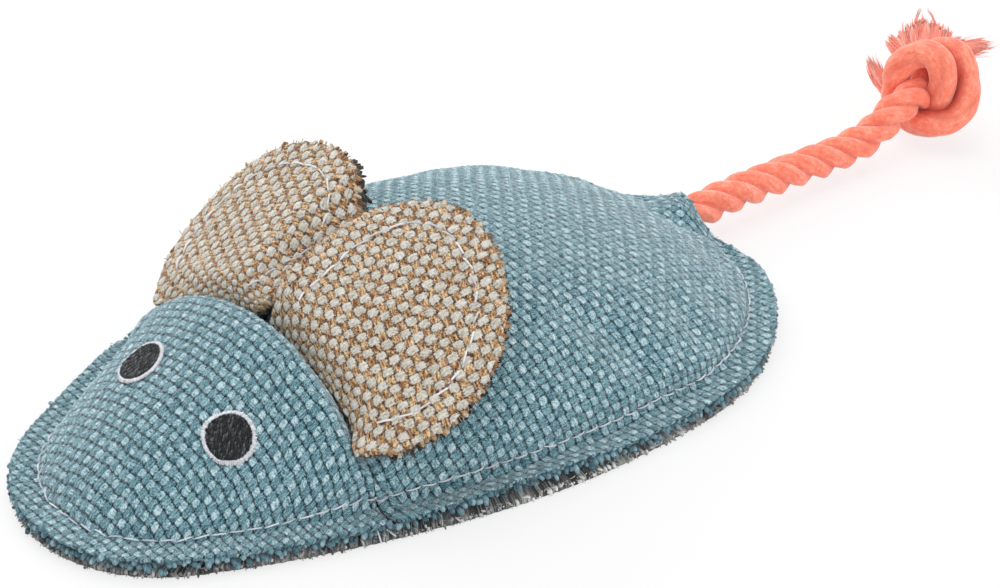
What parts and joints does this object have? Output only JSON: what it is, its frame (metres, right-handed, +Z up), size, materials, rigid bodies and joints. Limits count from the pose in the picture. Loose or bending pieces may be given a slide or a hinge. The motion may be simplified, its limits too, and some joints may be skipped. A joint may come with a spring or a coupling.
{
  "type": "catnip mouse",
  "caption": "Stuffed cloth mouse toy with a flat sewn base, embroidered eyes, two folded cloth ears and a knotted rope tail.",
  "frame": {"origin": "on the surface under the middle of the base panel's outline, the tail left out", "axes": "+X from the nose to the tail, +Y to the mouse's right, +Z up from the base"},
  "size_m": [0.2125, 0.088, 0.0357],
  "materials": {
    "grey_cloth": "mottled plain weave",
    "blue_cloth": "heathered plain weave",
    "stuffing": "loose polyester fibre",
    "catnip": "dried crumbled leaf",
    "white_thread": "twisted sewing thread",
    "black_thread": "filled embroidery",
    "charcoal_cloth": "plain weave",
    "beige_cloth": "coarse plain weave in tan and light grey",
    "coral_rope": "three-strand twisted cotton"
  },
  "bodies": {
    "mouse": {"base_panel": "grey_cloth", "head_panel": "blue_cloth", "body_panel": "blue_cloth", "fibre_stuffing": "stuffing", "catnip_filling": "catnip", "perimeter_stitch": "white_thread", "left_eye_ring": "white_thread", "left_eye_pupil": "black_thread", "right_eye_ring": "white_thread", "right_eye_pupil": "black_thread", "tail_sewn_end": "coral_rope"},
    "left_ear": {"left_ear_back": "charcoal_cloth", "left_ear_front": "beige_cloth", "left_ear_stitch": "white_thread"},
    "right_ear": {"right_ear_back": "charcoal_cloth", "right_ear_front": "beige_cloth", "right_ear_stitch": "white_thread"},
    "tail_root": {"tail_root": "coral_rope"},
    "tail": {"tail_rope": "coral_rope", "tail_knot": "coral_rope", "tail_fray": "coral_rope"}
  },
  "joints": [
    {"name": "left_ear_fold", "type": "hinge", "parent": "mouse", "child": "left_ear", "pos_m": [-0.02857, -0.01749, 0.02063], "axis": [0, -0.891, -0.454], "range_deg": [-4, 110], "stiffness_Nm_per_rad": 0.004},
    {"name": "right_ear_fold", "type": "hinge", "parent": "mouse", "child": "right_ear", "pos_m": [-0.02857, 0.01749, 0.02063], "axis": [0, -0.891, 0.454], "range_deg": [-4, 110], "stiffness_Nm_per_rad": 0.004},
    {"name": "tail_swing", "type": "hinge", "parent": "mouse", "child": "tail_root", "pos_m": [0.0733, -0.0015, 0.0049], "axis": [0, 0, 1], "range_deg": [-45, 45], "stiffness_Nm_per_rad": 0.008},
    {"name": "tail_lift", "type": "hinge", "parent": "tail_root", "child": "tail", "pos_m": [0.0846, -0.0015, 0.0049], "axis": [0, -1, 0], "range_deg": [0, 75], "stiffness_Nm_per_rad": 0.008}
  ]
}
